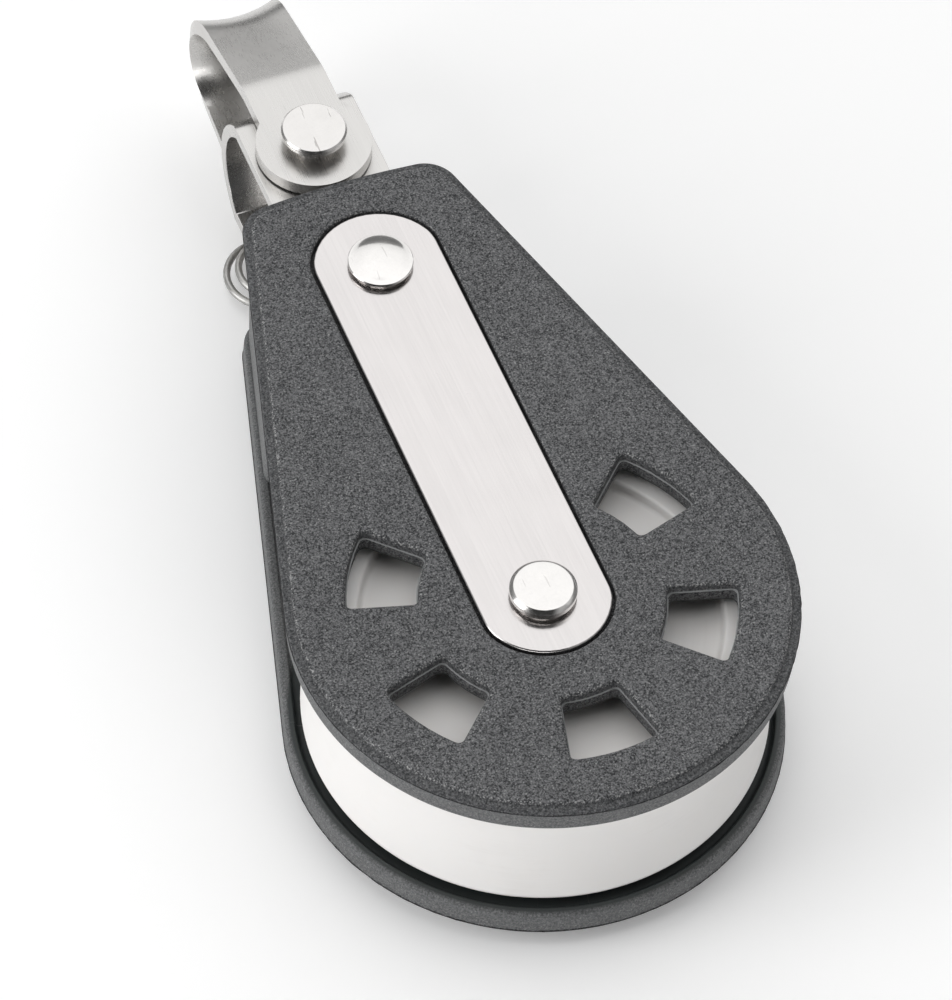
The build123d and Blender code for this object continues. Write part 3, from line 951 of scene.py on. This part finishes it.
def stripPath(parts, distance):
    # a place on a line made of straight runs and bends, and the way it faces there
    at = Vector((0, parts[0][1], parts[0][2]))
    heading = 0.0
    for kind, length, radius in parts[1:]:
        run = min(distance, length)
        if kind == "run":
            at += Vector((0, math.cos(heading), math.sin(heading))) * run
        else:
            turn = run / radius
            centre = at + Vector((0, math.sin(heading), -math.cos(heading))) * radius
            heading -= turn
            at = centre + Vector((0, -math.sin(heading), math.cos(heading))) * radius
        distance -= run
        if distance <= 0:
            break
    return at


def shackleBow():
    # a flat grid with round ends, laid along the bent line row by row
    s = shackleSizes
    reach = s["bowCentre"] - s["bend"]
    lean = math.atan2(s["face"], reach) - math.asin(s["bowRadius"] / math.hypot(reach, s["face"]))
    tangent = s["bendRound"] * math.tan(lean / 2)
    legEnd = Vector((s["bend"] + tangent * math.cos(lean), s["face"] - tangent * math.sin(lean)))
    touch = Vector((s["bowCentre"] + s["bowRadius"] * math.sin(lean), s["bowRadius"] * math.cos(lean)))
    tip = pinPlace[1] - s["ear"]
    lower = ("run", s["bend"] - tangent - tip, 0)
    bend = ("bend", s["bendRound"] * lean, s["bendRound"])
    upper = ("run", (touch - legEnd).length, 0)
    bow = ("bend", s["bowRadius"] * (math.pi - 2 * lean), s["bowRadius"])
    parts = [("start", tip, s["face"]), lower, bend, upper, bow, upper, bend, lower]
    total = sum(part[1] for part in parts[1:])
    neck = s["ear"] + math.sqrt(s["ear"] ** 2 - s["half"] ** 2)
    rows = []
    neckTurn = math.acos(1 - neck / s["ear"])
    tipTurn = math.radians(s["tipTurn"])
    for number in range(s["earRows"] + 1):
        turn = tipTurn + (neckTurn - tipTurn) * number / s["earRows"]
        rows.append(s["ear"] * (1 - math.cos(turn)))
    half = total / 2
    legRows = s["legRows"]
    rows += [neck + (half - neck) * (number + 1) / legRows for number in range(legRows)]
    rows += [total - distance for distance in reversed(rows[:-1])]
    clearSelection()
    bpy.ops.mesh.primitive_grid_add(x_subdivisions=s["columns"], y_subdivisions=len(rows) - 1, size=2)
    piece = bpy.context.object
    piece.name = "shackleBow"
    piece.data.name = "shackleBow"
    for vertex in piece.data.vertices:
        distance = rows[round((vertex.co.y + 1) / 2 * (len(rows) - 1))]
        fromEnd = min(distance, total - distance)
        earWide = math.sqrt(max(0.0, s["ear"] ** 2 - (s["ear"] - fromEnd) ** 2))
        wide = earWide if fromEnd < s["ear"] else max(earWide, s["half"])
        share = vertex.co.x
        at = stripPath(parts, distance)
        # the bow is dished: its middle is pressed in between the two edges
        up = max(0.0, min(1.0, (at.y - s["bend"]) / (shackleHigh.y - s["bend"])))
        at.y -= s["dish"] * (1 - share ** 2) * up * up * (3 - 2 * up)
        vertex.co = (share * wide, at.y, at.z)
    turnBandOut(piece, (0, s["bend"], 0))
    giveThickness(piece, s["thick"])
    drill(piece, s["bore"], 30 * mm, (0, pinPlace[1], 0))
    roundEdges(piece, s["edge"], 40, 3)
    smooth(piece, 34)
    handOver(piece, "strip", "shackle", ["shackle"])


shackleBow()
print("shackle made")


pinSizes = {"shank": 2.5 * mm, "headHeight": 1.0 * mm, "tailEdge": 0.5 * mm, "hole": 1.65 * mm}


def clevisPin():
    low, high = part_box("clevis_pin")
    head = high.x
    top = high.z
    under = top - pinSizes["headHeight"]
    shank = pinSizes["shank"]
    tail = low.z + pinSizes["tailEdge"]
    profile = [(0.0, low.z), (shank - pinSizes["tailEdge"], low.z), (shank, tail), (shank, under),
               (head - 0.22 * mm, under), (head - 0.05 * mm, under + 0.10 * mm),
               (head - 0.05 * mm, under + 0.36 * mm), (head - 0.12 * mm, under + 0.42 * mm),
               (head, under + 0.50 * mm), (head, top - 0.22 * mm),
               (head - 0.22 * mm, top - 0.01 * mm), (head - 0.45 * mm, top), (head * 0.5, top - 0.02 * mm),
               (0.0, top - 0.03 * mm)]
    piece = lathe("clevisPin", profile, 96, pinPlace)
    roundRing(piece, shank, tail, 0.12 * mm, 2, pinPlace)
    ringLow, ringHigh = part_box("split_ring")
    drill(piece, pinSizes["hole"], 9 * mm, (0, pinPlace[1], ringLow.z / 2 + ringHigh.z / 2), 40, "y")
    smooth(piece, 28)
    handOver(piece, "pin", "clevis_pin", ["clevis_pin"])


clevisPin()
print("clevis pin made")


ringSizes = {"wire": 0.9 * mm, "outerTurn": 5.6 * mm, "innerTurn": 4.2 * mm, "pitch": 1.74 * mm,
             "turns": 1.9, "startTurn": 0.05, "height": -12.0 * mm, "steps": 76}


def splitRing():
    s = ringSizes
    count = s["steps"]
    points = []
    for number in range(count + 1):
        share = number / count
        radius = s["outerTurn"] + (s["innerTurn"] - s["outerTurn"]) * share
        angle = 2 * math.pi * (s["turns"] * share + s["startTurn"])
        points.append((radius * (math.cos(angle) - 1), pinPlace[1] + radius * math.sin(angle),
                       s["height"] + s["pitch"] * (share - 0.5)))
    route = bpy.data.curves.new("splitRing", "CURVE")
    route.dimensions = "3D"
    spline = route.splines.new("POLY")
    spline.points.add(count)
    for point, place in zip(spline.points, points):
        point.co = place + (1,)
    route.bevel_depth = s["wire"] / 2
    route.bevel_resolution = 6
    route.use_fill_caps = True
    piece = bpy.data.objects.new("splitRing", route)
    bpy.context.scene.collection.objects.link(piece)
    choose(piece)
    bpy.ops.object.convert(target="MESH")
    piece = bpy.context.object
    cleanUp(piece)
    roundEdges(piece, 0.12 * mm, 50, 2)
    smooth(piece, 40)
    handOver(piece, "wire", "split_ring", ["split_ring"])


splitRing()
print("split ring made")


for node, look in (("sheave_bush", "bush"), ("axle_sleeve", "plate"), ("head_rivet_sleeve", "plate"),
                   ("front_thrust_washer", "washer"), ("rear_thrust_washer", "washer")):
    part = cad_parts[node]
    part.data.materials.clear()
    part.data.materials.append(looks[look])


def paleFloor():
    look = Look("paleFloor")
    cloud = look.noise(look.place, 6, 3, 0.5)
    colour = look.blend(cloud, (0.95, 0.95, 0.95, 1), (0.98, 0.98, 0.98, 1))
    material = look.finish({"Base Color": colour, "Roughness": 0.75, "Specular IOR Level": 0.1,
                            "Emission Color": (1, 1, 1, 1), "Emission Strength": 0.14})
    clearSelection()
    bpy.ops.mesh.primitive_plane_add(size=8, location=(0, 0, cadBounds[0][2] - 0.01 * mm))
    floor = bpy.context.object
    floor.name = "floor"
    floor.data.materials.append(material)


def softLight(name, azimuth, elevation, distance, width, height, power):
    # a large panel that looks at the middle of the block
    middle = Vector((0, 30 * mm, 0))
    a, e = math.radians(azimuth), math.radians(elevation)
    way = Vector((math.sin(a) * math.cos(e), math.cos(a) * math.cos(e), math.sin(e)))
    lamp = bpy.data.lights.new(name, "AREA")
    lamp.shape = "RECTANGLE"
    lamp.size = width
    lamp.size_y = height
    lamp.energy = power
    holder = bpy.data.objects.new(name, lamp)
    bpy.context.scene.collection.objects.link(holder)
    holder.location = middle + way * distance
    holder.rotation_euler = (-way).to_track_quat("-Z", "Y").to_euler()


studioSettings = {
    "strength": 0.66, "below": 0.9, "above": 1.0,
    "sky": ((0.50, 0.35), (0.62, 0.30), (0.80, 0.75)),
    "darkSide": (-0.27, -0.60, 0.75), "darkFrom": 0.74, "darkTo": 0.90, "darkLevel": 0.06,
    # azimuth, elevation, distance, width, height, power
    "panels": {"keyPanel": (20, 60, 0.9, 1.7, 1.35, 5.4),
               "leftPanel": (-85, 22, 0.9, 0.5, 0.9, 4.2),
               "rightPanel": (110, 40, 1.0, 0.4, 0.6, 0.2),
               "frontPanel": (210, 14, 1.0, 0.9, 0.30, 2.3)},
}


def studio():
    settings = studioSettings
    world = bpy.data.worlds.new("studio")
    bpy.context.scene.world = world
    world.use_nodes = True
    tree = world.node_tree
    place = tree.nodes.new("ShaderNodeTexCoord")
    parts = tree.nodes.new("ShaderNodeSeparateXYZ")
    ramp = tree.nodes.new("ShaderNodeValToRGB")
    elements = ramp.color_ramp.elements
    elements[0].position, elements[0].color = 0.0, grey(settings["below"])
    elements[1].position, elements[1].color = 1.0, grey(settings["above"])
    for position, level in settings["sky"]:
        elements.new(position).color = grey(level)
    half = tree.nodes.new("ShaderNodeMapRange")
    half.inputs[1].default_value = -1.0
    half.inputs[2].default_value = 1.0
    tree.links.new(place.outputs["Generated"], parts.inputs[0])
    tree.links.new(parts.outputs[2], half.inputs[0])
    tree.links.new(half.outputs[0], ramp.inputs[0])
    # one side of the room is dark, which gives the polished heads their dark rims
    facing = tree.nodes.new("ShaderNodeVectorMath")
    facing.operation = "DOT_PRODUCT"
    facing.inputs[1].default_value = settings["darkSide"]
    shade = tree.nodes.new("ShaderNodeMapRange")
    shade.inputs[1].default_value = settings["darkFrom"]
    shade.inputs[2].default_value = settings["darkTo"]
    shade.inputs[3].default_value = 1.0
    shade.inputs[4].default_value = settings["darkLevel"]
    dimmed = tree.nodes.new("ShaderNodeVectorMath")
    dimmed.operation = "SCALE"
    tree.links.new(place.outputs["Generated"], facing.inputs[0])
    tree.links.new(facing.outputs["Value"], shade.inputs[0])
    tree.links.new(ramp.outputs[0], dimmed.inputs[0])
    tree.links.new(shade.outputs[0], dimmed.inputs["Scale"])
    background = tree.nodes["Background"]
    tree.links.new(dimmed.outputs[0], background.inputs[0])
    background.inputs[1].default_value = settings["strength"]
    for name, panel in settings["panels"].items():
        softLight(name, *panel)


def addCamera():
    shot = {"azimuth": -24.37, "elevation": 53.5, "roll": 3.31, "distance": 658.8 * mm,
            "aim": (1.7 * mm, 23.2 * mm, 0.0), "lens": 206.2}
    turn = (Matrix.Rotation(math.radians(shot["azimuth"]), 4, "Z")
            @ Matrix.Rotation(math.radians(90 - shot["elevation"]), 4, "X")
            @ Matrix.Rotation(math.radians(shot["roll"]), 4, "Z"))
    lens = bpy.data.cameras.new("camera")
    lens.lens = shot["lens"]
    lens.sensor_width = 36.0
    lens.clip_start = 0.01
    camera = bpy.data.objects.new("camera", lens)
    bpy.context.scene.collection.objects.link(camera)
    back = turn @ Vector((0, 0, shot["distance"]))
    camera.matrix_world = Matrix.Translation(Vector(shot["aim"]) + back) @ turn
    bpy.context.scene.camera = camera


paleFloor()
studio()
addCamera()
bpy.context.scene.view_settings.view_transform = "Standard"
print("stage set")

clearSelection()
